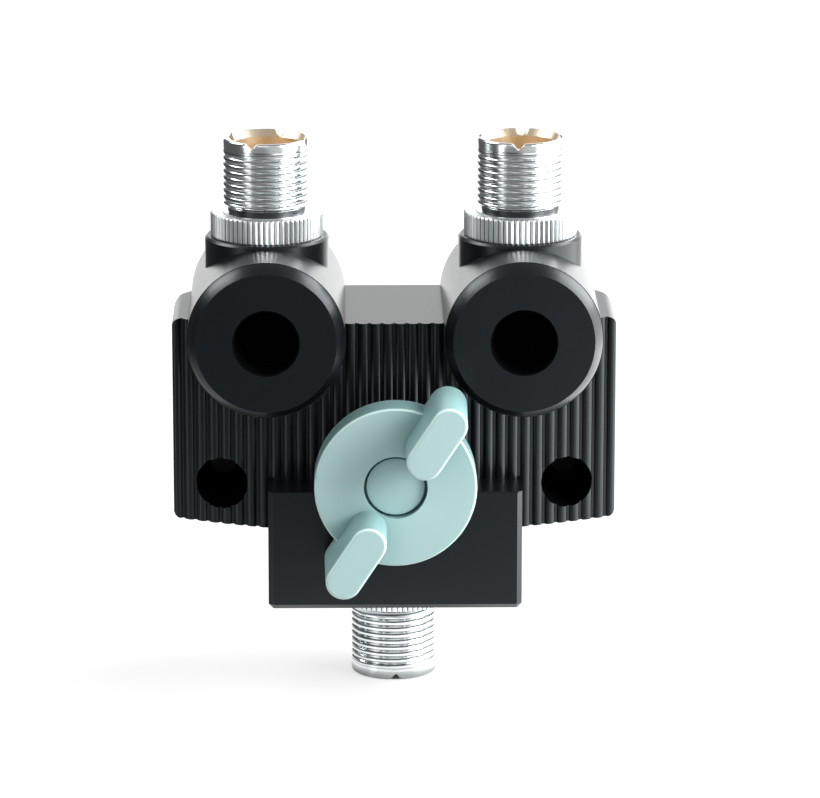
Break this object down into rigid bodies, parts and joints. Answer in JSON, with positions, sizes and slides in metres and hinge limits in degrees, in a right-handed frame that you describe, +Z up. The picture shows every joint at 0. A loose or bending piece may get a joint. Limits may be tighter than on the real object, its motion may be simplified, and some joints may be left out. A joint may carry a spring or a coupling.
{
  "type": "coaxial antenna switch",
  "caption": "Die-cast two-way coaxial antenna switch with threaded sockets above and below, a ribbed crowned front, two round barrels and a winged turning knob.",
  "frame": {"origin": "midway between the two wall-screw holes, on the flat back", "axes": "+X to the right seen from the front, +Y to the back and into the wall, +Z up towards the two upper sockets"},
  "size_m": [0.081, 0.0584, 0.1014],
  "materials": {
    "black_paint": "satin",
    "nickel": "polished",
    "brass": "satin",
    "silvered_brass": "satin",
    "teal_plastic": "matte",
    "white_plastic": "matte",
    "cream_plastic": "satin",
    "steel": "satin"
  },
  "bodies": {
    "case": {"housing": "black_paint", "rear_cover": "black_paint", "rear_cover_screws": "steel", "right_line": "silvered_brass", "left_line": "silvered_brass", "common_line": "silvered_brass", "line_standoffs": "white_plastic", "line_screws": "steel", "spindle_bush": "brass", "stop_pin": "steel", "detent_spring": "steel", "right_connector_shell": "nickel", "right_insulator": "cream_plastic", "right_centre_contact": "brass", "left_connector_shell": "nickel", "left_insulator": "cream_plastic", "left_centre_contact": "brass", "common_connector_shell": "nickel", "common_insulator": "cream_plastic", "common_centre_contact": "brass", "right_knurled_ring": "nickel", "left_knurled_ring": "nickel", "common_knurled_ring": "nickel"},
    "knob_and_rotor": {"knob": "teal_plastic", "knob_cap": "teal_plastic", "knob_screw": "steel", "spindle": "steel", "thrust_washer": "steel", "detent_disc": "steel", "grounding_plate": "silvered_brass", "retaining_clip": "steel", "rotor_insulator": "white_plastic", "rotor_pin": "steel", "rotor_blade": "silvered_brass", "blade_rivets": "brass"},
    "ball": {"detent_ball": "steel"}
  },
  "joints": [
    {"name": "knob_turn", "type": "hinge", "parent": "case", "child": "knob_and_rotor", "pos_m": [0, -0.04, 0.0041], "axis": [0, -1, 0], "range_deg": [0, 66.6]},
    {"name": "ball_slide", "type": "slide", "parent": "case", "child": "ball", "axis": [0, 1, 0], "range_m": [0, 0.00045], "stiffness_N_per_m": 400, "springref_m": 0.002}
  ]
}
